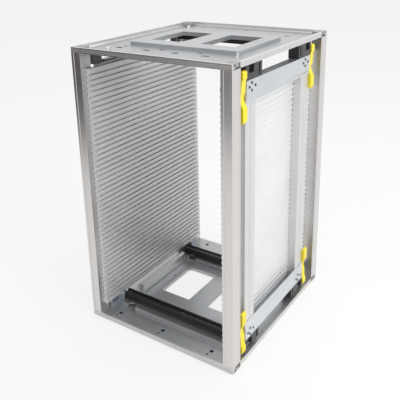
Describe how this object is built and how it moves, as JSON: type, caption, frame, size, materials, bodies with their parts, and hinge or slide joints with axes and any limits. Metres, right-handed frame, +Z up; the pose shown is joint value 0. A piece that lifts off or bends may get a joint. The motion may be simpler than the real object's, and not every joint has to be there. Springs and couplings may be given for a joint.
{
  "type": "pcb magazine rack",
  "caption": "Open upright box frame with two grooved walls for storing boards; one wall slides on toothed racks and is locked by yellow levers.",
  "frame": {"origin": "middle of the rectangle on which the base stands", "axes": "+Z up, -Y towards the open front, +X towards the sliding wall"},
  "size_m": [0.32, 0.355, 0.535],
  "materials": {
    "zinc_sheet": "satin zinc-plated sheet with a fine rolled grain",
    "edge_profile": "brushed anodised extrusion",
    "corner_casting": "dull casting",
    "column_profile": "brushed anodised extrusion",
    "screw_steel": "zinc-plated",
    "dark_screw": "black oxide",
    "bright_steel": "polished",
    "tray_sheet": "satin zinc-plated sheet",
    "rack_plastic": "moulded, conductive black",
    "bar_aluminium": "bright milled",
    "panel_aluminium": "satin anodised",
    "stile_profile": "satin anodised box section",
    "cross_bar_sheet": "satin folded sheet",
    "dark_bracket": "dark grey",
    "skirt_sheet": "bluish zinc-plated sheet",
    "block_plastic": "moulded dark grey",
    "pin_steel": "yellow-passivated",
    "lever_yellow": "moulded bright yellow"
  },
  "bodies": {
    "frame": {"base_plate": "zinc_sheet", "top_plate": "zinc_sheet", "base_rim_front": "edge_profile", "base_rim_rear": "edge_profile", "base_rim_left": "edge_profile", "base_rim_right": "edge_profile", "top_rim_front": "edge_profile", "top_rim_rear": "edge_profile", "top_rim_left": "edge_profile", "top_rim_right": "edge_profile", "base_corner_blocks": "corner_casting", "top_corner_blocks": "corner_casting", "column_front_left": "column_profile", "column_front_right": "column_profile", "column_rear_left": "column_profile", "column_rear_right": "column_profile", "column_screws": "screw_steel", "top_clips": "bright_steel", "base_tray_front": "tray_sheet", "base_tray_rear": "tray_sheet", "base_rack_front": "rack_plastic", "base_rack_rear": "rack_plastic", "top_rack_front": "rack_plastic", "top_rack_rear": "rack_plastic", "rack_screws": "screw_steel", "base_side_bar": "bar_aluminium", "side_bar_angles": "bar_aluminium", "fixed_panel": "panel_aluminium", "fixed_stile_front": "stile_profile", "fixed_stile_rear": "stile_profile", "fixed_bar_base": "cross_bar_sheet", "fixed_bar_top": "cross_bar_sheet", "fixed_brackets": "dark_bracket", "fixed_skirts": "skirt_sheet", "fixed_hangers": "dark_bracket", "fixed_pads": "rack_plastic", "fixed_screws": "dark_screw"},
    "sliding_wall": {"sliding_panel": "panel_aluminium", "sliding_stile_front": "stile_profile", "sliding_stile_rear": "stile_profile", "sliding_bar_base": "cross_bar_sheet", "sliding_bar_top": "cross_bar_sheet", "slide_block_base_front": "block_plastic", "slide_block_base_rear": "block_plastic", "slide_block_top_front": "block_plastic", "slide_block_top_rear": "block_plastic", "sliding_screws": "dark_screw", "lever_pins": "pin_steel"},
    "lever_base_front": {"lever_base_front": "lever_yellow"},
    "lever_base_rear": {"lever_base_rear": "lever_yellow"},
    "lever_top_front": {"lever_top_front": "lever_yellow"},
    "lever_top_rear": {"lever_top_rear": "lever_yellow"}
  },
  "joints": [
    {"name": "wall_slide", "type": "slide", "parent": "frame", "child": "sliding_wall", "axis": [1, 0, 0], "range_m": [-0.2, 0]},
    {"name": "lever_base_front_swing", "type": "hinge", "parent": "sliding_wall", "child": "lever_base_front", "pos_m": [0.1525, -0.138, 0.027], "axis": [0, 1, 0], "range_deg": [0, 85]},
    {"name": "lever_base_rear_swing", "type": "hinge", "parent": "sliding_wall", "child": "lever_base_rear", "pos_m": [0.1525, 0.1165, 0.027], "axis": [0, 1, 0], "range_deg": [0, 85]},
    {"name": "lever_top_front_swing", "type": "hinge", "parent": "sliding_wall", "child": "lever_top_front", "pos_m": [0.1525, -0.138, 0.508], "axis": [0, -1, 0], "range_deg": [0, 85]},
    {"name": "lever_top_rear_swing", "type": "hinge", "parent": "sliding_wall", "child": "lever_top_rear", "pos_m": [0.1525, 0.1165, 0.508], "axis": [0, -1, 0], "range_deg": [0, 85]}
  ]
}
